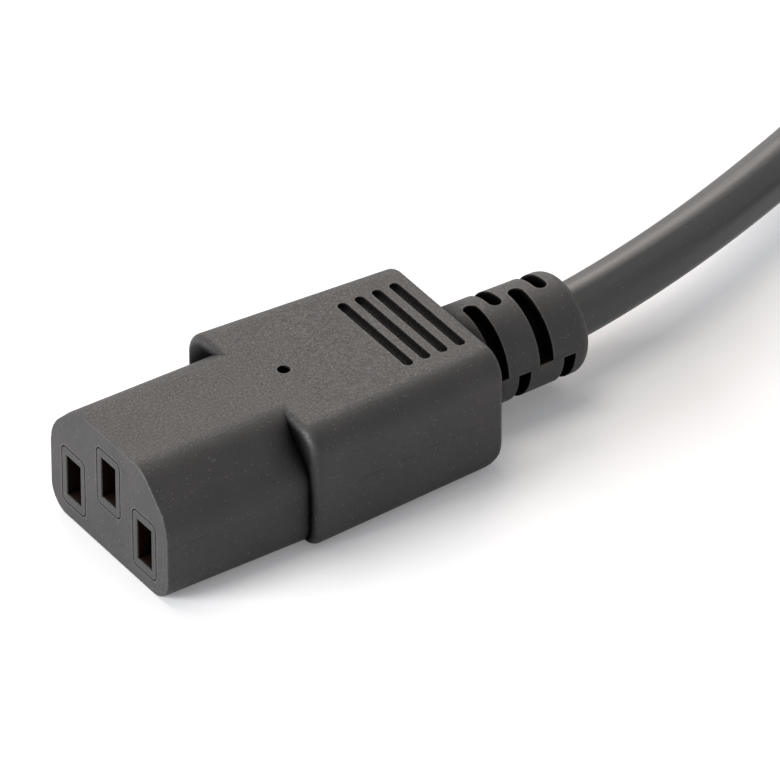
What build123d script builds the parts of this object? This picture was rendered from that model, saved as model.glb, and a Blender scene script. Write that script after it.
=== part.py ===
from build123d import *
import math
import os

os.makedirs("parts", exist_ok=True)

# Y splitter power cord: two moulded female connectors and one moulded male plug, joined by
# round cord through a moulded junction. Millimetres, +Z up, everything lies on Z = 0.
# The origin is under connector A, its mating face looks along -X, its cord leaves to +X.

# Moulded connector body
FACE_X = -30.3
NOSE_LENGTH = 18.35
NOSE_WIDTH = 23.2
BODY_HEIGHT = 15.4
NOSE_LOW_RADIUS = 3.0
NOSE_TOP_HALF = 6.6
NOSE_SIDE_HEIGHT = 10.5
NOSE_TOP_RADIUS = 4.0
NOSE_SIDE_RADIUS = 5.5
NOSE_EDGE = 0.15
GRIP_END = 44.05
GRIP_FRONT_WIDTH = 25.5
GRIP_REAR_WIDTH = 22.7
GRIP_REAR_HEIGHT = 15.1
GRIP_TOP_RADIUS = 3.1
GRIP_LOW_RADIUS = 2.5
GRIP_FRONT_ROUND = 1.0
GRIP_REAR_ROUND = 4.9
GRIP_REAR_EDGE = 0.8

# Thumb grooves and the small moulding hole on the upper side
GROOVE_CENTRES = (34.77, 37.03, 39.3, 41.6)
GROOVE_RADIUS = 0.62
GROOVE_LENGTH = 13.8
GROOVE_DEPTH = 0.58
HOLE_X = 22.8
HOLE_RADIUS = 0.75
HOLE_DEPTH = 2.0

# Segmented strain relief: four rings of quarter-turn slots, turned by a quarter from ring to ring
RELIEF_AXIS_Z = 7.2
RELIEF_END = 59.7
RELIEF_ROOT_R = 6.32
RELIEF_TIP_R = 5.97
RELIEF_ROUND = 1.6
SLOT_FLOOR_R = 4.2
SLOT_RINGS = ((46.5, 48.3), (49.65, 51.3), (52.45, 54.3), (55.7, 57.3))
SLOT_WEB_ANGLE = 1.0

# Contact carrier: three nozzles, flush with the mating face, on one block
CONTACT_PITCH = 7.0
CONTACT_LOW_Z = 5.5
EARTH_OFFSET = 4.0
NOZZLE_WIDTH = 4.4
NOZZLE_HEIGHT = 7.3
NOZZLE_CORNER = 0.7
NOZZLE_GAP = 0.15
NOZZLE_GAP_DEPTH = 0.6
NOZZLE_LENGTH = 12.0
SLOT_WIDTH = 2.7
SLOT_HEIGHT = 5.2
SLOT_LEAD = 0.1
SLOT_DEPTH = 4.0
CARRIER_END = 20.0
CHAMBER_END = 18.4

# Sprung contact, bent from sheet, with a crimp barrel behind it
SHEET = 0.35
CONTACT_HALF = 1.6
CONTACT_HALF_HEIGHT = 2.3
CONTACT_TIP = 4.6
CONTACT_THROAT = 7.4
CONTACT_THROAT_HALF = 0.8
CONTACT_BOX = 13.0
CORE_R = 1.0
BARREL_R = 1.4
BARREL_START = 20.2
BARREL_END = 25.5

# Cord and the place where its jacket ends inside a moulding
CORD_DIAMETER = 6.6
JACKET_END = 40.0
CORE_SPREAD = 1.1
CORE_RISE = 1.25
CORE_DROP = 0.65

# Plug: a shroud that goes over the nose of an appliance connector, three flat pins in it
PLUG_RISE = 2.0
SHROUD_CLEARANCE = 0.6
SHROUD_OUTSET = 2.0
SHROUD_DEPTH = 16.0
SHROUD_LENGTH = 19.0
PLUG_GRIP_LOW = 1.6
PLUG_GRIP_WIDTHS = (24.4, 22.6)
PLUG_GRIP_HEIGHTS = (16.0, 15.4)
PLUG_AXIS_Z = 9.3
PIN_THICK = 2.0
PIN_WIDE = 4.0
PIN_TIP = 2.6
EARTH_TIP = 1.0
PIN_CARRIER_END = 24.0
PIN_CARRIER_INSET = 2.4

# Junction moulding
JUNCTION_X = 207.7
JUNCTION_Y = 4.0
JUNCTION_LENGTH = 48.0
JUNCTION_WIDE = 26.0
JUNCTION_NARROW = 17.0
JUNCTION_HEIGHT = 11.0
JUNCTION_ROUND = 2.6
LEG_SPREAD = 5.5
COLLAR_LENGTH = 6.0
LEG_JACKET_END = 7.0
TRUNK_JACKET_END = 42.2
LEVEL_AT_JACKET = 2.1
LEVEL_AT_SPLICE = 2.6
SPLICE_CENTRES = (17.0, 24.0, 31.0)
SPLICE_HALF = (3.0, 2.6, 1.35)

# Second connector and plug: place of the jacket end and direction of the cord into it
B_END = (244.6, -25.5)
B_HEADING = -11.0
PLUG_END = (249.9, -62.6)

# Centrelines of the cord; every run between two points is straight, with an arc at each point
JUNCTION_Z = JUNCTION_HEIGHT / 2
FLOOR_Z = CORD_DIAMETER / 2
LEG_A_ROUTE = [
    (FACE_X + JACKET_END, 0, RELIEF_AXIS_Z),
    (33.98, 0, RELIEF_AXIS_Z),
    (72.7, 15.2, FLOOR_Z),
    (114.7, 23.4, FLOOR_Z),
    (159.7, 24.2, FLOOR_Z),
    (188.7, JUNCTION_Y + LEG_SPREAD, JUNCTION_Z),
    (JUNCTION_X + LEG_JACKET_END, JUNCTION_Y + LEG_SPREAD, JUNCTION_Z),
]
LEG_B_ROUTE = [
    (JUNCTION_X + LEG_JACKET_END, JUNCTION_Y - LEG_SPREAD, JUNCTION_Z),
    (190.7, JUNCTION_Y - LEG_SPREAD, JUNCTION_Z),
    (168.6, 12.9, FLOOR_Z),
    (141.3, 8.6, FLOOR_Z),
    (125.1, -13.7, FLOOR_Z),
    (130.2, -46.2, FLOOR_Z),
    (152.5, -62.4, FLOOR_Z),
    (179.8, -58.1, FLOOR_Z),
    (196.0, -34.6, 4.9),
    (B_END[0] - 25.5, B_END[1] + 25.5 * math.tan(math.radians(-B_HEADING)), RELIEF_AXIS_Z),
    (B_END[0], B_END[1], RELIEF_AXIS_Z),
]
TRUNK_ROUTE = [
    (JUNCTION_X + TRUNK_JACKET_END, JUNCTION_Y, JUNCTION_Z),
    (277.5, JUNCTION_Y, JUNCTION_Z),
    (297.0, -15.5, 3.6),
    (297.0, -43.1, 4.9),
    (277.5, PLUG_END[1], PLUG_AXIS_Z),
    (PLUG_END[0], PLUG_END[1], PLUG_AXIS_Z),
]


def across(x):
    """Plane square to X: its own x is the object's Y, its own y is the object's Z."""
    return Plane(origin=(x, 0, 0), x_dir=(0, 1, 0), z_dir=(1, 0, 0))


def box(x0, x1, y0, y1, z0, z1):
    """Block between two corners."""
    middle = Pos((x0 + x1) / 2, (y0 + y1) / 2, (z0 + z1) / 2)
    return middle * Box(x1 - x0, y1 - y0, z1 - z0)


def nose_section(outset=0.0, rise=0.0):
    """Six-sided outline of the nose, its two upper corners cut off."""
    half = NOSE_WIDTH / 2
    points = [
        (-half, 0),
        (half, 0),
        (half, NOSE_SIDE_HEIGHT),
        (NOSE_TOP_HALF, BODY_HEIGHT),
        (-NOSE_TOP_HALF, BODY_HEIGHT),
        (-half, NOSE_SIDE_HEIGHT),
    ]
    outline = make_face(Polyline(*points, close=True))
    low = outline.vertices().group_by(Axis.Y)[0]
    outline = fillet(low, NOSE_LOW_RADIUS)
    side = [v for v in outline.vertices() if abs(v.Y - NOSE_SIDE_HEIGHT) < 0.1]
    outline = fillet(side, NOSE_SIDE_RADIUS)
    outline = fillet(outline.vertices().group_by(Axis.Y)[-1], NOSE_TOP_RADIUS)
    if outset:
        outline = offset(outline, amount=outset)
    return Pos(0, rise) * outline


def grip_section(width, low, height):
    """Outline across the grip, with wider rounding above than below."""
    middle = Pos(0, low + height / 2)
    outline = middle * Rectangle(width, height)
    outline = fillet(outline.vertices().group_by(Axis.Y)[-1], GRIP_TOP_RADIUS)
    return fillet(outline.vertices().group_by(Axis.Y)[0], GRIP_LOW_RADIUS)


def grip(start, widths, low, heights):
    """Tapered grip, rounded at its front edge, its rear edge and more at its lower rear edge."""
    front = across(start) * grip_section(widths[0], low, heights[0])
    rear = across(GRIP_END) * grip_section(widths[1], low, heights[1])
    body = loft([front, rear], ruled=True)
    body = fillet(body.faces().sort_by(Axis.X)[0].edges(), GRIP_FRONT_ROUND)
    body = fillet(body.faces().sort_by(Axis.X)[-1].edges(), GRIP_REAR_EDGE)
    round_x, round_z = GRIP_END - GRIP_REAR_ROUND, low + GRIP_REAR_ROUND
    corner = box(round_x, GRIP_END + 2, -20, 20, low - 2, round_z)
    corner -= Pos(round_x, 0, round_z) * Rot(90, 0, 0) * Cylinder(GRIP_REAR_ROUND, 50)
    return body - corner


def relief(axis_z):
    """Tapered round strain relief with a rounded end."""
    tip = RELIEF_END - RELIEF_ROUND
    s = math.sqrt(0.5)
    end_r = RELIEF_TIP_R - RELIEF_ROUND
    tip_arc = (tip + RELIEF_ROUND * s, end_r + RELIEF_ROUND * s)
    root = GRIP_END - GRIP_REAR_ROUND - 1
    line = Polyline((tip, RELIEF_TIP_R), (root, RELIEF_ROOT_R), (root, 0), (RELIEF_END, 0),
                    (RELIEF_END, end_r))
    line += ThreePointArc((RELIEF_END, end_r), tip_arc, (tip, RELIEF_TIP_R))
    solid = revolve(Plane.XZ * make_face(line), axis=Axis.X, revolution_arc=360)
    return Pos(0, 0, axis_z) * solid


def quarter_slot(x0, x1, round_angle, flat_angle, axis_z):
    """One slot round a quarter of the relief, rounded at one end and flat at the other.
    Angles are in degrees from the top, positive towards -Y."""
    width = x1 - x0
    low, span = min(round_angle, flat_angle), abs(flat_angle - round_angle)
    profile = Pos((x0 + x1) / 2, 6.5) * Rectangle(width, 6.0)
    ring = revolve(Plane.XZ * profile, axis=Axis.X, revolution_arc=span)
    ring = Rot(low, 0, 0) * ring
    end = Rot(round_angle, 0, 0) * Pos((x0 + x1) / 2, 0, 6.5) * Cylinder(width / 2, 6.0)
    floor = Rot(0, 90, 0) * Cylinder(SLOT_FLOOR_R, 200)
    return Pos(0, 0, axis_z) * ((ring + end) - floor)


def relief_slots(axis_z):
    """All slots of one strain relief."""
    tools = []
    for index, (x0, x1) in enumerate(SLOT_RINGS):
        side = 1 if index % 2 == 0 else -1
        tools.append(quarter_slot(x0, x1, 0, side * (90 - SLOT_WEB_ANGLE), axis_z))
        tools.append(quarter_slot(x0, x1, side * -180, side * (-90 - SLOT_WEB_ANGLE), axis_z))
    return tools


def thumb_grooves(front_x, front_z, rear_z):
    """Row of round-bottomed grooves across the upper side, which slopes from front to rear."""
    tools = []
    half = GROOVE_LENGTH / 2 - GROOVE_RADIUS
    for x in GROOVE_CENTRES:
        share = (x - front_x) / (GRIP_END - front_x)
        top = front_z + (rear_z - front_z) * share
        z = top - GROOVE_DEPTH + GROOVE_RADIUS
        groove = Rot(90, 0, 0) * Cylinder(GROOVE_RADIUS, 2 * half)
        for end in (-half, half):
            groove += Pos(0, end, 0) * Sphere(GROOVE_RADIUS)
        tools.append(Pos(x, 0, z) * groove)
    return tools


def core(path_points, straight=2.0):
    """Insulated core between two points, leaving and arriving along X."""
    a, b = path_points
    side = 1 if b[0] > a[0] else -1
    a1 = (a[0] + side * straight, a[1], a[2])
    b0 = (b[0] - side * straight, b[1], b[2])
    if abs(a[1] - b[1]) + abs(a[2] - b[2]) < 1e-6:
        path = Line(a, b)
    else:
        bend = Spline(a1, b0, tangents=[(side, 0, 0), (side, 0, 0)])
        path = Wire([Line(a, a1), bend, Line(b0, b)])
    start = Plane(origin=a, x_dir=(0, 1, 0), z_dir=(side, 0, 0))
    return sweep(start * Circle(CORE_R), path=path)


def contact_places():
    """Y, Z and name of the three contacts."""
    return (
        ("line", -CONTACT_PITCH, CONTACT_LOW_Z),
        ("neutral", CONTACT_PITCH, CONTACT_LOW_Z),
        ("earth", 0.0, CONTACT_LOW_Z + EARTH_OFFSET),
    )


def core_end(name, axis_z):
    """Where a core enters the end of the jacket."""
    if name == "earth":
        return (0.0, axis_z + CORE_RISE)
    side = -1 if name == "line" else 1
    return (side * CORE_SPREAD, axis_z - CORE_DROP)


def contact(y, z):
    """Two sprung leaves on a folded box, and a crimp barrel."""
    inner = CONTACT_HALF - SHEET
    leaf_line = [
        (CONTACT_TIP, inner - 0.1),
        (CONTACT_THROAT, CONTACT_THROAT_HALF),
        (CONTACT_BOX, inner),
        (CHAMBER_END, inner),
        (CHAMBER_END, CONTACT_HALF),
        (CONTACT_BOX, CONTACT_HALF),
        (CONTACT_THROAT, CONTACT_THROAT_HALF + SHEET),
        (CONTACT_TIP, inner - 0.1 + SHEET),
    ]
    high = CONTACT_HALF_HEIGHT
    leaf = extrude(make_face(Polyline(*leaf_line, close=True)), amount=2 * high)
    leaf = Pos(0, 0, -high) * leaf
    body = leaf + mirror(leaf, about=Plane.XZ)
    body += box(CONTACT_BOX + 0.5, CHAMBER_END, -CONTACT_HALF, CONTACT_HALF, -high, SHEET - high)
    body += box(CONTACT_BOX + 0.5, CHAMBER_END, -CONTACT_HALF, CONTACT_HALF, high - SHEET, high)
    body += box(CHAMBER_END - 1, BARREL_START + 0.8, -1.0, 1.0, -high, -CORE_R + 0.2)
    length = BARREL_END - BARREL_START
    middle = Pos((BARREL_START + BARREL_END) / 2, 0, 0) * Rot(0, 90, 0)
    body += middle * Cylinder(BARREL_R, length)
    body -= middle * Cylinder(CORE_R, length)
    return Pos(0, y, z) * body


def nozzle_outline(y, z, outset=0.0):
    """Rounded outline of one nozzle at the mating face."""
    width, height = NOZZLE_WIDTH + 2 * outset, NOZZLE_HEIGHT + 2 * outset
    return Pos(y, z) * RectangleRounded(width, height, NOZZLE_CORNER + outset)


def carrier_mass():
    """Nozzles and block without their hollows."""
    points = [(-9.6, 1.85), (9.6, 1.85), (9.6, 9.4), (5.8, 13.15), (-5.8, 13.15), (-9.6, 9.4)]
    outline = make_face(Polyline(*points, close=True))
    outline = fillet(outline.vertices(), 1.0)
    solid = extrude(across(NOZZLE_LENGTH) * outline, amount=CARRIER_END - NOZZLE_LENGTH)
    for _, y, z in contact_places():
        solid += extrude(across(0) * nozzle_outline(y, z), amount=NOZZLE_LENGTH + 1)
    return solid


def carrier_hollows():
    """Slot with a lead-in and the chamber behind it, for each contact."""
    tools = []
    for _, y, z in contact_places():
        half_w, half_h = SLOT_WIDTH / 2, SLOT_HEIGHT / 2
        tools.append(box(-1, SLOT_DEPTH + 0.1, y - half_w, y + half_w, z - half_h, z + half_h))
        chamber = (y - CONTACT_HALF, y + CONTACT_HALF, z - half_h, z + half_h)
        tools.append(box(SLOT_DEPTH, CHAMBER_END, *chamber))
        wide = Pos(y, z) * Rectangle(SLOT_WIDTH + 2 * SLOT_LEAD, SLOT_HEIGHT + 2 * SLOT_LEAD)
        near = Pos(y, z) * Rectangle(SLOT_WIDTH, SLOT_HEIGHT)
        tools.append(loft([across(0) * wide, across(SLOT_LEAD) * near]))
    return tools


def connector_outside():
    """Outer form of the moulded connector."""
    nose = extrude(across(0) * nose_section(), amount=NOSE_LENGTH + GRIP_FRONT_ROUND)
    nose = fillet(nose.faces().sort_by(Axis.X)[0].edges(), NOSE_EDGE)
    side = [(0, 0), (0, BODY_HEIGHT), (NOSE_LENGTH, BODY_HEIGHT), (GRIP_END, GRIP_REAR_HEIGHT),
            (GRIP_END, 0)]
    flank = extrude(Plane.XZ * make_face(Polyline(*side, close=True)), amount=40, both=True)
    nose = nose & flank
    widths = (GRIP_FRONT_WIDTH, GRIP_REAR_WIDTH)
    body = nose + grip(NOSE_LENGTH, widths, 0, (BODY_HEIGHT, GRIP_REAR_HEIGHT))
    body += relief(RELIEF_AXIS_Z) & box(0, 80, -20, 20, 0, 40)
    body -= thumb_grooves(NOSE_LENGTH, BODY_HEIGHT, GRIP_REAR_HEIGHT)
    body -= Pos(HOLE_X, 0, BODY_HEIGHT) * Cylinder(HOLE_RADIUS, 2 * HOLE_DEPTH)
    body -= relief_slots(RELIEF_AXIS_Z)
    return body


def connector():
    """All solids of one connector, its mating face on X = 0 and its cord towards +X."""
    made = {}
    housing = connector_outside()
    mass = carrier_mass()
    housing -= mass
    carrier = mass - carrier_hollows()
    for name, y, z in contact_places():
        end_y, end_z = core_end(name, RELIEF_AXIS_Z)
        metal = contact(y, z)
        wire = core([(BARREL_START + 0.4, y, z), (JACKET_END, end_y, end_z)], straight=5.2)
        metal -= wire
        carrier -= metal
        housing -= metal
        housing -= wire
        gap = nozzle_outline(y, z, NOZZLE_GAP)
        housing -= extrude(across(0) * gap, amount=NOZZLE_GAP_DEPTH)
        made[name + "_contact"] = metal
        made[name + "_core"] = wire
    made["contact_carrier"] = carrier
    made["housing"] = housing
    return made


def plug():
    """All solids of the plug, the rim of its shroud on X = 0 and its cord towards +X."""
    made = {}
    body = extrude(across(0) * nose_section(SHROUD_OUTSET, PLUG_RISE), amount=SHROUD_LENGTH)
    body = fillet(body.faces().sort_by(Axis.X)[0].edges(), NOSE_EDGE)
    body = fillet(body.faces().sort_by(Axis.X)[-1].edges(), 1.0)
    front_x = SHROUD_LENGTH - 2
    body += grip(front_x, PLUG_GRIP_WIDTHS, PLUG_GRIP_LOW, PLUG_GRIP_HEIGHTS)
    body += relief(PLUG_AXIS_Z)
    body -= extrude(across(0) * nose_section(SHROUD_CLEARANCE, PLUG_RISE), amount=SHROUD_DEPTH)
    tops = [PLUG_GRIP_LOW + height for height in PLUG_GRIP_HEIGHTS]
    body -= thumb_grooves(front_x, *tops)
    body -= relief_slots(PLUG_AXIS_Z)
    block = nose_section(-PIN_CARRIER_INSET, PLUG_RISE)
    block = extrude(across(SHROUD_DEPTH) * block, amount=PIN_CARRIER_END - SHROUD_DEPTH)
    body -= block
    for name, y, low_z in contact_places():
        z = low_z + PLUG_RISE
        tip = EARTH_TIP if name == "earth" else PIN_TIP
        half_t, half_w = PIN_THICK / 2, PIN_WIDE / 2
        pin = box(tip, PIN_CARRIER_END, y - half_t, y + half_t, z - half_w, z + half_w)
        pin = chamfer(pin.faces().sort_by(Axis.X)[0].edges(), 0.5)
        back = PIN_CARRIER_END + BARREL_END - BARREL_START
        pin += Pos((PIN_CARRIER_END + back) / 2, y, z) * Rot(0, 90, 0) * Cylinder(
            BARREL_R, back - PIN_CARRIER_END)
        end_y, end_z = core_end(name, PLUG_AXIS_Z)
        wire = core([(PIN_CARRIER_END + 0.6, y, z), (JACKET_END, end_y, end_z)], straight=4.7)
        pin -= wire
        block -= pin
        body -= pin
        body -= wire
        made[name + "_pin"] = pin
        made[name + "_core"] = wire
    made["pin_carrier"] = block
    made["housing"] = body
    return made


def collar(x, y, direction):
    """Short tapered collar round a cord where it leaves the junction."""
    profile = [(-3, 0), (-3, 5.1), (0, 5.1), (COLLAR_LENGTH - 1, 4.6), (COLLAR_LENGTH, 4.1),
               (COLLAR_LENGTH, 0)]
    solid = revolve(Plane.XZ * make_face(Polyline(*profile, close=True)), axis=Axis.X)
    turn = 0 if direction > 0 else 180
    return Pos(x, y, JUNCTION_Z) * Rot(0, 0, turn) * solid


def junction():
    """Moulded junction, the cores in it and the splice of each of the three conductors."""
    made = {}
    wide, narrow, length = JUNCTION_WIDE / 2, JUNCTION_NARROW / 2, JUNCTION_LENGTH
    plan = [(0, -wide), (length * 0.55, -wide), (length, -narrow), (length, narrow),
            (length * 0.55, wide), (0, wide)]
    outline = make_face(Polyline(*plan, close=True))
    outline = fillet(outline.vertices(), 5.0)
    body = extrude(outline, amount=JUNCTION_HEIGHT)
    body = fillet(body.faces().sort_by(Axis.Z)[-1].edges(), JUNCTION_ROUND)
    body = fillet(body.faces().sort_by(Axis.Z)[0].edges(), JUNCTION_ROUND)
    body = Pos(JUNCTION_X, JUNCTION_Y, 0) * body
    for side in (-1, 1):
        body += collar(JUNCTION_X, JUNCTION_Y + side * LEG_SPREAD, -1)
    body += collar(JUNCTION_X + JUNCTION_LENGTH, JUNCTION_Y, 1)
    for name, level, splice_x in zip(("line", "neutral", "earth"), (1, 0, -1), SPLICE_CENTRES):
        x = JUNCTION_X + splice_x
        near = JUNCTION_Z + level * LEVEL_AT_JACKET
        far = JUNCTION_Z + level * LEVEL_AT_SPLICE
        trunk_end = (JUNCTION_X + TRUNK_JACKET_END, JUNCTION_Y, near)
        wires = core([trunk_end, (x - 1, JUNCTION_Y, far)], straight=4.2)
        for side in (-1, 1):
            leg_end = (JUNCTION_X + LEG_JACKET_END, JUNCTION_Y + side * LEG_SPREAD, near)
            splice_end = (x + 1, JUNCTION_Y + side * (CORE_R + 0.05), far)
            wires += core([leg_end, splice_end], straight=2.2)
        half = SPLICE_HALF
        sleeve = box(x - half[0], x + half[0], JUNCTION_Y - half[1], JUNCTION_Y + half[1],
                     far - half[2], far + half[2])
        sleeve = fillet(sleeve.edges().filter_by(Axis.X), 0.9)
        sleeve -= wires
        body -= sleeve
        body -= wires
        made[name + "_splice"] = sleeve
        made[name + "_cores"] = wires
    made["housing"] = body
    return made


def cord(name, points):
    """Round cord of straight runs and tangent arcs along a route."""
    places = [Vector(*p) for p in points]
    radii = []
    for before, here, after in zip(places, places[1:], places[2:]):
        turn = math.radians((here - before).get_angle(after - here))
        shorter = min((here - before).length, (after - here).length)
        radii.append(0.45 * shorter / math.tan(turn / 2))
    path = FilletPolyline(*points, radius=radii)
    start = Plane(origin=places[0], z_dir=(places[1] - places[0]).normalized())
    solid = sweep(start * Circle(CORD_DIAMETER / 2), path=path)
    expected = math.pi * CORD_DIAMETER ** 2 / 4 * path.length
    print(name, "length", round(path.length, 1), "radii", [round(r, 1) for r in radii])
    print(name, "volume over section times length", round(solid.volume / expected, 4))
    return solid


def main():
    """Build every node and write it to its own file."""
    cords = {
        "leg_a_cord": cord("leg_a_cord", LEG_A_ROUTE),
        "leg_b_cord": cord("leg_b_cord", LEG_B_ROUTE),
        "trunk_cord": cord("trunk_cord", TRUNK_ROUTE),
    }
    turn = math.radians(B_HEADING)
    b_face = (B_END[0] + JACKET_END * math.cos(turn), B_END[1] + JACKET_END * math.sin(turn))
    nodes = {}
    for prefix, made, place, cord_name in (
        ("connector_a_", connector(), Location((FACE_X, 0, 0)), "leg_a_cord"),
        ("connector_b_", connector(), Location((*b_face, 0), (0, 0, 180 + B_HEADING)), "leg_b_cord"),
        ("plug_", plug(), Location((PLUG_END[0] - JACKET_END, PLUG_END[1], 0)), "trunk_cord"),
    ):
        for name, solid in made.items():
            if name == "housing":
                solid -= place.inverse() * cords[cord_name]
            nodes[prefix + name] = place * solid
    for name, solid in junction().items():
        if name == "housing":
            for tube in cords.values():
                solid -= tube
        nodes["junction_" + name] = solid
    nodes.update(cords)
    for name, solid in sorted(nodes.items()):
        span = solid.bounding_box()
        print(name, len(solid.solids()), round(solid.volume, 1),
              [round(v, 2) for v in (*span.min, *span.max)])
        export_step(solid, "parts/" + name + ".step")


main()
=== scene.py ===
"""Y splitter power cord: one moulded connector in view, the rest lying outside the frame."""
import logging
import math
from dataclasses import dataclass, field
from enum import Enum
from typing import Dict, List, Mapping, Optional, Sequence, Tuple, Union

import bpy
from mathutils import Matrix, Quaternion, Vector


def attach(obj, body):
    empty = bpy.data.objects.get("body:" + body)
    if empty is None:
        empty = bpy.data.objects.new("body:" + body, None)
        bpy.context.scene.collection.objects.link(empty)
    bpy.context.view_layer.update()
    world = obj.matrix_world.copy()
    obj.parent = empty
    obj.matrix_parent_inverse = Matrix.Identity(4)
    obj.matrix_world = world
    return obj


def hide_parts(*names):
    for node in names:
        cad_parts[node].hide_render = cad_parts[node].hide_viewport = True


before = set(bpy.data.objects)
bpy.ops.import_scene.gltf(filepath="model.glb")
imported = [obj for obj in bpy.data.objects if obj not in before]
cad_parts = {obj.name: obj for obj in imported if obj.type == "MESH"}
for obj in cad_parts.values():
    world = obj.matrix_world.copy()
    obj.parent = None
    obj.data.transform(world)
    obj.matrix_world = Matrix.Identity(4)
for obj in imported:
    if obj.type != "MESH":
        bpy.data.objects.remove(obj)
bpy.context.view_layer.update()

logging.basicConfig(level=logging.INFO, format="%(message)s")
LOG = logging.getLogger("y_splitter")

Point = Tuple[float, float, float]
Pair = Tuple[float, float]
Tree = bpy.types.NodeTree
Socket = bpy.types.NodeSocket
Number = Union[float, Socket]
Colour = Union[str, Socket]

MM: float = 0.001
UNIT: Pair = (0.0, 1.0)

# A Mix node has a set of sockets for each type of data, so they are reached by number.
MIX_NUMBERS: Tuple[int, int] = (2, 3)
MIX_COLOURS: Tuple[int, int] = (6, 7)
MIXED_NUMBER: int = 0
MIXED_COLOUR: int = 2

# Heights of a cord's middle line above the floor, in millimetres.
ON_FLOOR: float = 3.3
CONNECTOR_AXIS: float = 7.2
JUNCTION_AXIS: float = 5.5
PLUG_AXIS: float = 9.3


class Conductor(Enum):
    """The three conductors of the cord."""

    LINE = "line"
    NEUTRAL = "neutral"
    EARTH = "earth"


class Slot(Enum):
    """Material slots of the record."""

    HOUSING = "housing_pvc"
    CARRIER = "carrier_plastic"
    CORD = "cord_pvc"
    CONTACT = "contact_brass"
    PIN = "pin_nickel"
    SPLICE = "splice_tin"
    LINE = "core_brown"
    NEUTRAL = "core_blue"
    EARTH = "core_green_yellow"


WIRE_SLOTS: Dict[Conductor, Slot] = {
    Conductor.LINE: Slot.LINE,
    Conductor.NEUTRAL: Slot.NEUTRAL,
    Conductor.EARTH: Slot.EARTH,
}


def srgb(code: str) -> Tuple[float, float, float, float]:
    """Turn a hex colour into the linear colour that Blender's nodes use.

    Args:
        code: Colour as six hex digits.

    Returns:
        Linear red, green, blue and an alpha of 1.
    """
    values = [int(code[i:i + 2], 16) / 255 for i in (0, 2, 4)]
    linear = [v / 12.92 if v <= 0.04045 else ((v + 0.055) / 1.055) ** 2.4 for v in values]
    return (linear[0], linear[1], linear[2], 1.0)


def wire(tree: Tree, node: bpy.types.Node, inputs: Mapping[object, object]) -> None:
    """Set a node's inputs to values, or link them to other nodes.

    Args:
        tree: Node tree of the node.
        node: The node.
        inputs: Value or output socket for each input, by name or number.
    """
    for key, value in inputs.items():
        if isinstance(value, Socket):
            tree.links.new(value, node.inputs[key])
        else:
            node.inputs[key].default_value = value


def add_node(tree: Tree, kind: str, inputs: Optional[Mapping[object, object]] = None,
             **settings: object) -> bpy.types.Node:
    """Add one node with its settings, and its inputs as values or links.

    Args:
        tree: Node tree that gets the node.
        kind: Blender's name of the node type.
        inputs: Value or output socket for each input, by name or number.
        settings: Properties of the node.

    Returns:
        The new node.
    """
    node = tree.nodes.new(kind)
    for name, value in settings.items():
        setattr(node, name, value)
    wire(tree, node, inputs or {})
    return node


def remap(tree: Tree, value: Socket, ends: Pair, span: Pair = UNIT) -> Socket:
    """Carry a number from one range to another and stop it at the new range's ends.

    Args:
        tree: Node tree of the material.
        value: Number to carry over.
        ends: Range it comes from.
        span: Range it goes to.

    Returns:
        Number socket.
    """
    node = add_node(tree, "ShaderNodeMapRange",
                    {"Value": value, "From Min": ends[0], "From Max": ends[1],
                     "To Min": span[0], "To Max": span[1]})
    return node.outputs["Result"]


def maths(tree: Tree, operation: str, *values: Number) -> Socket:
    """Do one step of arithmetic.

    Args:
        tree: Node tree of the material.
        operation: Blender's name of the step.
        values: Its numbers or sockets, in order.

    Returns:
        Number socket.
    """
    node = add_node(tree, "ShaderNodeMath", dict(enumerate(values)), operation=operation)
    return node.outputs["Value"]


def noise(tree: Tree, place: Socket, scale: float, detail: float,
          roughness: float = 0.5) -> Socket:
    """Add soft noise.

    Args:
        tree: Node tree of the material.
        place: Coordinates.
        scale: Patches per unit of the coordinates.
        detail: Number of finer layers on top.
        roughness: Share that each finer layer keeps.

    Returns:
        Number socket.
    """
    node = add_node(tree, "ShaderNodeTexNoise",
                    {"Vector": place, "Scale": scale, "Detail": detail,
                     "Roughness": roughness})
    return node.outputs["Fac"]


def blend(tree: Tree, share: Socket, first: Colour, second: Colour) -> Socket:
    """Mix two colours.

    Args:
        tree: Node tree of the material.
        share: Share of the second colour.
        first: Hex colour or socket where the share is 0.
        second: Hex colour or socket where the share is 1.

    Returns:
        Colour socket.
    """
    colours = [srgb(one) if isinstance(one, str) else one for one in (first, second)]
    node = add_node(tree, "ShaderNodeMix",
                    {"Factor": share, **dict(zip(MIX_COLOURS, colours))}, data_type="RGBA")
    return node.outputs[MIXED_COLOUR]


def relief(tree: Tree, height: Socket, strength: float, depth: float) -> Socket:
    """Turn a height into a surface normal.

    Args:
        tree: Node tree of the material.
        height: Height from 0 to 1.
        strength: Share of the effect that shows.
        depth: Height of 1 in millimetres.

    Returns:
        Vector socket.
    """
    node = add_node(tree, "ShaderNodeBump",
                    {"Height": height, "Strength": strength, "Distance": depth * MM})
    return node.outputs["Normal"]


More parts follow.
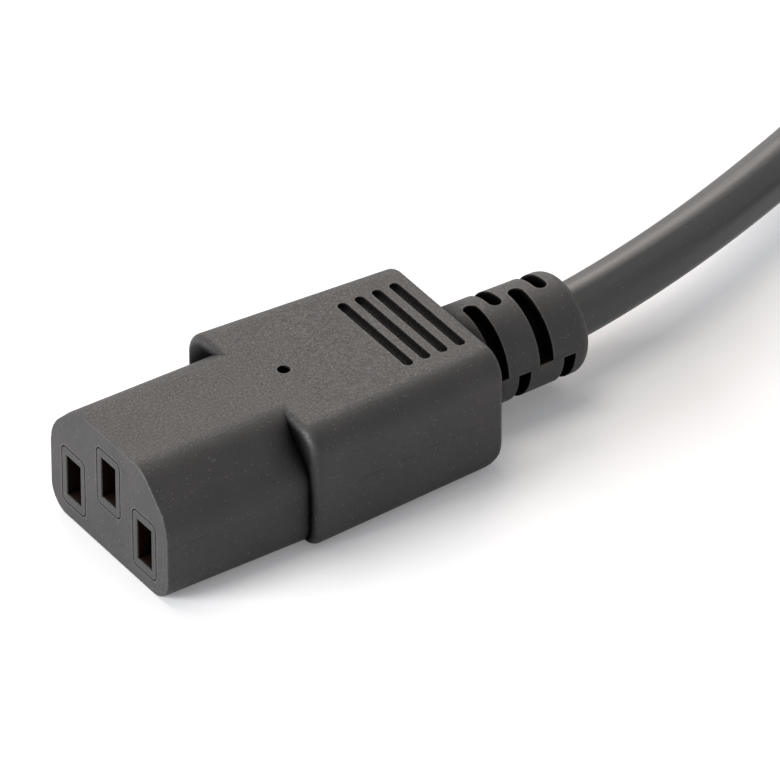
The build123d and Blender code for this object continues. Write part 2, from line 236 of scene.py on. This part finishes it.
@dataclass(frozen=True)
class Finish:
    """A surface material; subclasses say how its nodes are made."""

    name: str

    def shade(self, tree: Tree, shader: bpy.types.Node) -> None:
        """Set the shader's sockets and add the pattern nodes.

        Args:
            tree: Node tree of the material.
            shader: Its Principled shader.
        """
        raise NotImplementedError

    def build(self) -> bpy.types.Material:
        """Make the material.

        Returns:
            The finished material.
        """
        material = bpy.data.materials.new(self.name)
        material.use_nodes = True
        tree = material.node_tree
        tree.nodes.clear()
        output = add_node(tree, "ShaderNodeOutputMaterial")
        shader = add_node(tree, "ShaderNodeBsdfPrincipled")
        tree.links.new(shader.outputs["BSDF"], output.inputs["Surface"])
        self.shade(tree, shader)
        LOG.info("material %s", self.name)
        return material

    @staticmethod
    def millimetres(tree: Tree, stretch: Point = (1, 1, 1)) -> Socket:
        """Object coordinates in millimetres.

        Args:
            tree: Node tree of the material.
            stretch: Factor along each axis.

        Returns:
            Vector socket.
        """
        place = add_node(tree, "ShaderNodeTexCoord")
        scale = tuple(share / MM for share in stretch)
        return add_node(tree, "ShaderNodeMapping",
                        {"Vector": place.outputs["Object"], "Scale": scale}).outputs["Vector"]


@dataclass(frozen=True)
class MouldedPvc(Finish):
    """PVC from a spark-eroded mould: dull and grained, dusty outside, with painted shade in its
    recesses.

    Its sharp edges are paler, partly as rubbed wear and partly as a painted highlight. Lengths
    are in millimetres. A parting height below zero leaves the mould's line out.
    """

    colour: str = "171616"
    worn: str = "2a2827"
    # Colour of the painted shade in recesses; the dark parting line is drawn in it too.
    painted_shade_and_line_colour: str = "0b0a0a"
    # Edge colour: partly rubbed wear, partly a painted highlight.
    rubbed_and_highlit_rim: str = "55524f"
    dust: str = "7c7a78"
    # Real eroded grain is 0.05 mm wide, too fine to show, so it is drawn this coarse.
    grain: float = 0.28
    roughness: float = 0.54
    bump: float = 0.055
    # Real dust is finer still, so a few larger specks stand for it.
    speck: float = 0.09
    specks_per_mm: float = 1.5
    clouds_per_mm: float = 0.16
    # How far round a recess the painted shade reaches, and how thin an edge has to be.
    recess: float = 4.2
    edge: float = 0.3
    parting: float = -1.0
    # Half the parting line's width where it is full and where it ends.
    line_width: Pair = (0.03, 0.11)
    line_patches_per_mm: float = 0.45
    line_height: float = 1.5
    # Largest share of the nose-to-cord direction in the normal of a side.
    side_limit: float = 0.8
    gloss: float = 0.5
    refraction: float = 1.5

    def shade(self, tree: Tree, shader: bpy.types.Node) -> None:
        """Set the shader's sockets and add the pattern nodes.

        Args:
            tree: Node tree of the material.
            shader: Its Principled shader.
        """
        place = self.millimetres(tree)
        grain = noise(tree, place, 1 / self.grain, 2.0, 0.6)
        colour = self.dusted(tree, place, self.clouded(tree, place, grain))
        height = grain
        if self.parting > 0:
            line = self.parting_line(tree, place)
            height = maths(tree, "MULTIPLY_ADD", line, self.line_height, grain)
            colour = blend(tree, line, colour, self.painted_shade_and_line_colour)
        # Painted shade: the colour goes dark where a place is enclosed by the part itself.
        unshaded_share = self.openness(tree)
        colour = blend(tree, unshaded_share, self.painted_shade_and_line_colour, colour)
        rough = remap(tree, grain, (0.3, 0.7), (self.roughness - 0.13, self.roughness + 0.16))
        # The painted shade takes the gloss out of recesses too, so that no light from the sky
        # shows in them.
        deep = add_node(tree, "ShaderNodeMix",
                        {"Factor": unshaded_share, **dict(zip(MIX_NUMBERS, (1.0, rough)))},
                        data_type="FLOAT")
        # Painted highlight: sharp edges get a paler colour, partly as rubbed wear and partly as
        # the light they catch.
        wire(tree, shader, {
            "Base Color": blend(tree, self.rubbed_and_highlit_edges(tree, grain), colour, self.rubbed_and_highlit_rim),
            "Normal": relief(tree, height, 0.8, self.bump),
            "Roughness": deep.outputs[MIXED_NUMBER],
            "Specular IOR Level": maths(tree, "MULTIPLY", unshaded_share, self.gloss),
            "IOR": self.refraction,
        })

    def clouded(self, tree: Tree, place: Socket, grain: Socket) -> Socket:
        """Vary the black in soft clouds, with the grain's own light and dark in them.

        Args:
            tree: Node tree of the material.
            place: Coordinates in millimetres.
            grain: Noise of the eroded grain.

        Returns:
            Colour socket.
        """
        cloud = noise(tree, place, self.clouds_per_mm, 4.0, 0.6)
        both = maths(tree, "MULTIPLY_ADD", grain, 1.6, cloud)
        return blend(tree, remap(tree, both, (1.08, 1.52)), self.colour, self.worn)

    def dusted(self, tree: Tree, place: Socket, colour: Socket) -> Socket:
        """Scatter grey dust specks over a colour.

        Args:
            tree: Node tree of the material.
            place: Coordinates in millimetres.
            colour: Colour below the dust.

        Returns:
            Colour socket.
        """
        cells = add_node(tree, "ShaderNodeTexVoronoi",
                         {"Vector": place, "Scale": self.specks_per_mm, "Randomness": 1.0})
        edge = self.speck * self.specks_per_mm
        dots = remap(tree, cells.outputs["Distance"], (0.45 * edge, edge), (0.5, 0.0))
        return blend(tree, dots, colour, self.dust)

    def openness(self, tree: Tree) -> Socket:
        """Say how open a place is, from 0 deep in a slot to 1 on the outside; the painted shade
        follows it.

        Args:
            tree: Node tree of the material.

        Returns:
            Number socket.
        """
        around = add_node(tree, "ShaderNodeAmbientOcclusion", {"Distance": self.recess * MM},
                          samples=8, only_local=True)
        return remap(tree, around.outputs["AO"], (0.66, 0.985))

    def rubbed_and_highlit_edges(self, tree: Tree, grain: Socket) -> Socket:
        """Find the sharp outer edges, coloured paler partly as handling's rubbing and partly as a
        painted highlight, unevenly as the grain goes.

        Args:
            tree: Node tree of the material.
            grain: Noise of the eroded grain.

        Returns:
            Number socket, up to 0.7 on an edge and 0 elsewhere.
        """
        within = add_node(tree, "ShaderNodeAmbientOcclusion", {"Distance": self.edge * MM},
                          samples=6, inside=True, only_local=True)
        edge = remap(tree, within.outputs["AO"], (0.6, 0.92), (1.0, 0.0))
        uneven = remap(tree, grain, (0.35, 0.65), (0.2, 0.7))
        return maths(tree, "MULTIPLY", edge, uneven)

    def parting_line(self, tree: Tree, place: Socket) -> Socket:
        """Find the broken line where the mould's halves meet, on the sides only.

        A real line is a few hundredths of a millimetre wide, so it is drawn wider to show.

        Args:
            tree: Node tree of the material.
            place: Coordinates in millimetres.

        Returns:
            Number socket, up to 0.7 on the line and 0 elsewhere.
        """
        height = add_node(tree, "ShaderNodeSeparateXYZ", {"Vector": place}).outputs["Z"]
        off = maths(tree, "ABSOLUTE", maths(tree, "SUBTRACT", height, self.parting))
        near = remap(tree, off, self.line_width, (0.7, 0.0))
        patches = noise(tree, place, self.line_patches_per_mm, 2.0)
        breaks = remap(tree, patches, (0.42, 0.6))
        facing = add_node(tree, "ShaderNodeNewGeometry").outputs["Normal"]
        turn = add_node(tree, "ShaderNodeSeparateXYZ", {"Vector": facing})
        along = maths(tree, "ABSOLUTE", turn.outputs["X"])
        side = maths(tree, "LESS_THAN", along, self.side_limit)
        return maths(tree, "MULTIPLY", maths(tree, "MULTIPLY", near, breaks), side)


@dataclass(frozen=True)
class ExtrudedPvc(MouldedPvc):
    """Cord jacket: the same PVC drawn through a die, smoother and streaked along its length."""

    # Streaks along the length and across it, for each unit of the jacket's own UV.
    streaks: Pair = (1.6, 9.0)
    # A thin bloom of plasticiser gives the jacket a faint second shine.
    bloom: float = 0.10
    bloom_roughness: float = 0.35

    def shade(self, tree: Tree, shader: bpy.types.Node) -> None:
        """Set the shader's sockets and add the pattern nodes.

        Args:
            tree: Node tree of the material.
            shader: Its Principled shader.
        """
        super().shade(tree, shader)
        rough = remap(tree, self.die_lines(tree), (0.4, 0.62),
                      (self.roughness - 0.06, self.roughness + 0.26))
        wire(tree, shader, {"Roughness": rough, "Coat Weight": self.bloom,
                            "Coat Roughness": self.bloom_roughness})

    def clouded(self, tree: Tree, place: Socket, grain: Socket) -> Socket:
        """Vary the black in streaks along the cord.

        Args:
            tree: Node tree of the material.
            place: Coordinates in millimetres.
            grain: Noise of the surface.

        Returns:
            Colour socket.
        """
        tone = remap(tree, self.die_lines(tree), (0.42, 0.60))
        return blend(tree, tone, self.colour, self.worn)

    def die_lines(self, tree: Tree) -> Socket:
        """Noise drawn out along the jacket's own length.

        Args:
            tree: Node tree of the material.

        Returns:
            Number socket.
        """
        own = add_node(tree, "ShaderNodeTexCoord")
        drawn = add_node(tree, "ShaderNodeMapping",
                         {"Vector": own.outputs["UV"], "Scale": (*self.streaks, 1.0)})
        return noise(tree, drawn.outputs["Vector"], 1.0, 3.0, 0.55)


@dataclass(frozen=True)
class Insulation(Finish):
    """Extruded PVC insulation, plain or with a second colour along it."""

    colour: str = "5a2b16"
    second: str = "5a2b16"
    stripes_per_mm: float = 0.32
    roughness: float = 0.42

    def shade(self, tree: Tree, shader: bpy.types.Node) -> None:
        """Set the shader's sockets and add the pattern nodes.

        Args:
            tree: Node tree of the material.
            shader: Its Principled shader.
        """
        split = add_node(tree, "ShaderNodeTexWave",
                         {"Vector": self.millimetres(tree), "Scale": self.stripes_per_mm,
                          "Distortion": 0.4}, bands_direction="Y")
        stripe = remap(tree, split.outputs["Fac"], (0.48, 0.52))
        wire(tree, shader, {"Base Color": blend(tree, stripe, self.colour, self.second),
                            "Roughness": self.roughness})


@dataclass(frozen=True)
class SheetMetal(Finish):
    """Rolled or plated metal with fine lines along X and slight tarnish."""

    colour: str = "c79a4e"
    tarnish: str = "7c5527"
    roughness: float = 0.3
    lines_per_mm: float = 9.0
    line_stretch: Point = (0.12, 1.0, 1.0)
    line_depth: float = 0.01
    spots_per_mm: float = 0.55

    def shade(self, tree: Tree, shader: bpy.types.Node) -> None:
        """Set the shader's sockets and add the pattern nodes.

        Args:
            tree: Node tree of the material.
            shader: Its Principled shader.
        """
        lines = noise(tree, self.millimetres(tree, self.line_stretch), self.lines_per_mm, 3.0)
        spots = noise(tree, self.millimetres(tree), self.spots_per_mm, 5.0)
        wire(tree, shader, {
            "Base Color": blend(tree, remap(tree, spots, (0.45, 0.75)), self.colour,
                                self.tarnish),
            "Roughness": remap(tree, lines, UNIT,
                               (self.roughness - 0.08, self.roughness + 0.14)),
            "Normal": relief(tree, lines, 0.3, self.line_depth),
            "Metallic": 1.0,
        })


class Palette:
    """All finishes of the object, each made once."""

    def __init__(self) -> None:
        """Make the materials for every slot."""
        finishes: Dict[Slot, Finish] = {
            # Spark-eroded steel leaves soft PVC dull, so its edges shine broadly, with no glare.
            Slot.HOUSING: MouldedPvc("black moulded pvc of the connectors", parting=7.4),
            # A polished tool leaves the hard carrier a little smoother than the soft PVC. Its
            # painted shade is dark brown, a painted reflection of the brass contacts in the
            # slots.
            Slot.CARRIER: MouldedPvc("black moulded pbt of the carriers", colour="1c1b1b",
                                     worn="262525", painted_shade_and_line_colour="1c120e", rubbed_and_highlit_rim="343231",
                                     grain=0.2, roughness=0.50, bump=0.03),
            # The die draws the jacket smooth, so light runs along it as one long soft band.
            Slot.CORD: ExtrudedPvc("black extruded pvc cord jacket", colour="151516",
                                   worn="302f2e", roughness=0.36, bump=0.02,
                                   specks_per_mm=1.1),
            # Rolled strip keeps fine lines, which stretch each reflection across them.
            Slot.CONTACT: SheetMetal("bare rolled brass strip"),
            # Barrel plating is bright, with the stamping's lines just showing through.
            Slot.PIN: SheetMetal("nickel plated stamped brass", colour="c9c4b8",
                                 tarnish="a39c8c", roughness=0.22),
            # Dipped tin is softer and greyer than nickel, so it shines with a blurred edge.
            Slot.SPLICE: SheetMetal("tin plated copper crimp sleeve", colour="c2c0bb",
                                    tarnish="8f8c86", roughness=0.36),
            # Extruded insulation is even and half-glossy, with one clean highlight along it.
            Slot.LINE: Insulation("brown extruded pvc insulation"),
            Slot.NEUTRAL: Insulation("blue extruded pvc insulation", colour="1d4f9c",
                                     second="1d4f9c"),
            Slot.EARTH: Insulation("green and yellow extruded pvc insulation", colour="2f7a35",
                                   second="d6c532"),
        }
        self.materials: Dict[Slot, bpy.types.Material] = {
            which: finish.build() for which, finish in finishes.items()}
        # The mould's halves meet at another height on these two, as a faint line round the side.
        self.own: Dict[str, bpy.types.Material] = {
            "plug_housing": MouldedPvc("black moulded pvc of the plug",
                                       parting=PLUG_AXIS).build(),
            "junction_housing": MouldedPvc("black moulded pvc of the junction",
                                           parting=JUNCTION_AXIS).build(),
        }

    def paint(self, piece: bpy.types.Object, which: Slot) -> None:
        """Give a piece one finish all over.

        Args:
            piece: Mesh or curve object.
            which: Slot of the record.
        """
        piece.data.materials.clear()
        piece.data.materials.append(self.own.get(piece.name, self.materials[which]))
        LOG.info("piece %s: %s", piece.name, which.value)


@dataclass
class FreeCord:
    """A round cord lying on the floor, as one smooth curve over its CAD tube, in millimetres."""

    node: str
    route: Sequence[Point]
    exit: Point
    length: float
    far_end: str
    carries: List[str] = field(default_factory=list)
    diameter: float = 6.6
    steps_along: int = 14
    steps_round: int = 10

    def build(self, palette: Palette) -> bpy.types.Object:
        """Args:
            palette: Finishes of the object.

        Returns:
            The curve object.
        """
        curve = bpy.data.curves.new(self.node + "_jacket", "CURVE")
        curve.dimensions = "3D"
        spline = curve.splines.new("NURBS")
        spline.points.add(len(self.route) - 1)
        for place, point in zip(self.route, spline.points):
            point.co = (*[v * MM for v in place], 1.0)
        spline.order_u = 3
        spline.use_endpoint_u = True
        spline.resolution_u = self.steps_along
        curve.bevel_depth = self.diameter / 2 * MM
        curve.bevel_resolution = self.steps_round
        curve.use_fill_caps = True
        curve.twist_mode = "MINIMUM"
        piece = bpy.data.objects.new(self.node + "_jacket", curve)
        bpy.context.scene.collection.objects.link(piece)
        palette.paint(piece, Slot.CORD)
        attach(piece, "root")
        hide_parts(self.node)
        LOG.info("cord %s with %d points", piece.name, len(self.route))
        return piece


@dataclass
class Moulding:
    """A moulded end or junction whose CAD nodes keep their shape and get finishes.

    Its nodes' names are the prefix and then housing, the block, or a conductor's metal or wires.
    """

    prefix: str
    metal: str
    metal_slot: Slot
    wires: str
    block: str = ""

    def nodes(self) -> Dict[str, Slot]:
        """Names of the moulding's nodes and their slots.

        Returns:
            Slot by node name.
        """
        made = {self.prefix + "housing": Slot.HOUSING}
        if self.block:
            made[self.prefix + self.block] = Slot.CARRIER
        for conductor, slot in WIRE_SLOTS.items():
            made[f"{self.prefix}{conductor.value}_{self.metal}"] = self.metal_slot
            made[f"{self.prefix}{conductor.value}_{self.wires}"] = slot
        return made

    def build(self, palette: Palette) -> None:
        """Paint every node of the moulding.

        Args:
            palette: Finishes of the object.
        """
        for name, slot in self.nodes().items():
            palette.paint(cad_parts[name], slot)


@dataclass
class Assembly:
    """The whole Y splitter."""

    palette: Palette

    def build(self) -> None:
        """Make the cords first, then dress the mouldings."""
        connector_a = Moulding("connector_a_", "contact", Slot.CONTACT, "core", "contact_carrier")
        connector_b = Moulding("connector_b_", "contact", Slot.CONTACT, "core", "contact_carrier")
        plug = Moulding("plug_", "pin", Slot.PIN, "core", "pin_carrier")
        junction = Moulding("junction_", "splice", Slot.SPLICE, "cores")
        for cord in self.cords(connector_b, plug, junction):
            cord.build(self.palette)
        for moulding in (connector_a, connector_b, plug, junction):
            moulding.build(self.palette)

    @staticmethod
    def cords(connector_b: Moulding, plug: Moulding, junction: Moulding) -> List[FreeCord]:
        """Lay the three free cords, each with the moulding at its far end.

        Args:
            connector_b: Connector on the second leg.
            plug: Plug on the trunk.
            junction: Junction between the three.

        Returns:
            The cords, not yet built.
        """
        leg_a = FreeCord("leg_a_cord", [
            (9.7, 0, CONNECTOR_AXIS), (16.0, 0, CONNECTOR_AXIS), (30.0, 0, CONNECTOR_AXIS),
            (55.2, 6.1, CONNECTOR_AXIS), (90.0, 23.0, ON_FLOOR), (159.7, 24.2, ON_FLOOR),
            (188.7, 9.5, JUNCTION_AXIS), (214.7, 9.5, JUNCTION_AXIS)],
            exit=(29.4, 0, CONNECTOR_AXIS), length=210.9, far_end="fitting",
            carries=list(junction.nodes()))
        leg_b = FreeCord("leg_b_cord", [
            (214.7, -1.5, JUNCTION_AXIS), (190.7, -1.5, JUNCTION_AXIS), (168.6, 12.9, ON_FLOOR),
            (141.3, 8.6, ON_FLOOR), (125.1, -13.7, ON_FLOOR), (130.2, -46.2, ON_FLOOR),
            (152.5, -62.4, ON_FLOOR), (179.8, -58.1, ON_FLOOR), (196.0, -34.6, 4.9),
            (219.1, -20.54, CONNECTOR_AXIS), (244.6, -25.5, CONNECTOR_AXIS)],
            exit=(207.7, -1.5, JUNCTION_AXIS), length=265.8, far_end="connector",
            carries=list(connector_b.nodes()))
        trunk = FreeCord("trunk_cord", [
            (249.9, 4.0, JUNCTION_AXIS), (277.5, 4.0, JUNCTION_AXIS), (297.0, -15.5, 3.6),
            (297.0, -43.1, 4.9), (277.5, -62.6, PLUG_AXIS), (249.9, -62.6, PLUG_AXIS)],
            exit=(255.7, 4.0, JUNCTION_AXIS), length=133.1, far_end="plug",
            carries=list(plug.nodes()))
        return [leg_a, leg_b, trunk]


@dataclass(frozen=True)
class Lamp:
    """A square soft light that looks at the connector; metres, watts and a hex colour."""

    name: str
    place: Point
    size: float
    power: float
    colour: str

    def build(self) -> None:
        """Add the light to the scene."""
        data = bpy.data.lights.new(self.name, "AREA")
        data.size = self.size
        data.energy = self.power
        data.color = srgb(self.colour)[:3]
        light = bpy.data.objects.new(self.name, data)
        light.location = self.place
        light.rotation_mode = "QUATERNION"
        light.rotation_quaternion = (-Vector(self.place)).to_track_quat("-Z", "Y")
        bpy.context.scene.collection.objects.link(light)


@dataclass(frozen=True)
class Studio:
    """Pale floor, soft lights and the camera at the photograph's angle.

    The camera's place is in millimetres and its roll in degrees; the floor is in metres.
    """

    eye: Point = (-598.3, -896.9, 794.36)
    look: Point = (0.45194, 0.67034, -0.58856)
    focal: float = 564.8
    roll: float = -0.187
    sensor: float = 36.0
    floor_reach: float = 3.0
    floor_gap: float = 0.00002
    # Distance from the middle over which the floor's glow rises, and its strength there.
    glow_reach: Pair = (0.4, 1.5)
    glow: Pair = (0.15, 0.65)
    clip: Pair = (0.01, 20.0)
    sky: float = 0.42
    lamps: Tuple[Lamp, ...] = (
        Lamp("overhead", (-0.08, 0.23, 0.98), 0.5, 2.9, "fff6ee"),
        Lamp("back", (0.55, 0.8, 0.7), 0.7, 5.3, "fff4ec"),
        Lamp("front", (-0.98, 0.22, 0.29), 0.5, 17.5, "f9fafe"),
    )

    def camera(self) -> None:
        """Make the camera and set it as the scene's camera."""
        data = bpy.data.cameras.new("camera")
        data.sensor_width = self.sensor
        data.lens = self.focal
        data.clip_start, data.clip_end = self.clip
        camera = bpy.data.objects.new("camera", data)
        camera.location = Vector(self.eye) * MM
        camera.rotation_mode = "QUATERNION"
        aim = Vector(self.look).to_track_quat("-Z", "Y")
        camera.rotation_quaternion = aim @ Quaternion((0, 0, 1), math.radians(self.roll))
        bpy.context.scene.collection.objects.link(camera)
        bpy.context.scene.camera = camera

    @staticmethod
    def seen(tree: Tree) -> Socket:
        """Say whether the camera sees a place, directly, in gloss or through something clear.

        Args:
            tree: Node tree of the floor or the world.

        Returns:
            Socket that is 1 for those rays and 0 for diffuse light.
        """
        path = add_node(tree, "ShaderNodeLightPath").outputs
        gloss = maths(tree, "MAXIMUM", path["Is Camera Ray"], path["Is Glossy Ray"])
        return maths(tree, "MAXIMUM", gloss, path["Is Transmission Ray"])

    def split(self, tree: Tree, output: bpy.types.Node, plain: Socket, shown: Socket) -> None:
        """Give the camera's rays one shader and diffuse light the other.

        Args:
            tree: Node tree of the floor or the world.
            output: Its output node.
            plain: Shader for diffuse light.
            shown: Shader for what the camera sees.
        """
        mix = add_node(tree, "ShaderNodeMixShader", {0: self.seen(tree), 1: plain, 2: shown})
        tree.links.new(mix.outputs["Shader"], output.inputs["Surface"])

    def floor(self) -> None:
        """Make the pale floor; what the camera sees of it is white but for the shadow."""
        data = bpy.data.meshes.new("floor")
        side = self.floor_reach
        corners = [(-side, -side, 0), (side, -side, 0), (side, side, 0), (-side, side, 0)]
        data.from_pydata(corners, [], [(0, 1, 2, 3)])
        floor = bpy.data.objects.new("floor", data)
        floor.location = (0, 0, -self.floor_gap)
        bpy.context.scene.collection.objects.link(floor)
        material = bpy.data.materials.new("pale studio floor")
        material.use_nodes = True
        tree = material.node_tree
        tree.nodes.clear()
        output = add_node(tree, "ShaderNodeOutputMaterial")
        pale = add_node(tree, "ShaderNodeBsdfDiffuse", {"Color": srgb("f4f4f4")}).outputs["BSDF"]
        place = add_node(tree, "ShaderNodeTexCoord").outputs["Object"]
        away = add_node(tree, "ShaderNodeVectorMath", {0: place}, operation="LENGTH")
        # The lamps reach the middle only, so the floor glows more further out to stay white.
        rise = remap(tree, away.outputs["Value"], self.glow_reach, self.glow)
        glow = add_node(tree, "ShaderNodeEmission", {"Color": srgb("ffffff"), "Strength": rise})
        both = add_node(tree, "ShaderNodeAddShader", {0: pale, 1: glow.outputs["Emission"]})
        self.split(tree, output, pale, both.outputs["Shader"])
        data.materials.append(material)

    def world(self) -> None:
        """Grey surroundings for the object, white where the camera looks past the floor."""
        world = bpy.data.worlds.new("studio")
        bpy.context.scene.world = world
        world.use_nodes = True
        tree = world.node_tree
        tree.nodes.clear()
        output = add_node(tree, "ShaderNodeOutputWorld")
        dim = add_node(tree, "ShaderNodeBackground",
                       {"Color": srgb("eef0f4"), "Strength": self.sky})
        white = add_node(tree, "ShaderNodeBackground", {"Color": srgb("ffffff"), "Strength": 1.0})
        self.split(tree, output, dim.outputs["Background"], white.outputs["Background"])

    def build(self) -> None:
        """Make the whole studio."""
        self.camera()
        self.floor()
        self.world()
        for lamp in self.lamps:
            lamp.build()
        bpy.context.scene.view_settings.view_transform = "Standard"
        LOG.info("studio ready")


def main() -> None:
    """Build the scene."""
    Studio().build()
    Assembly(Palette()).build()


if __name__ == "__main__":
    main()
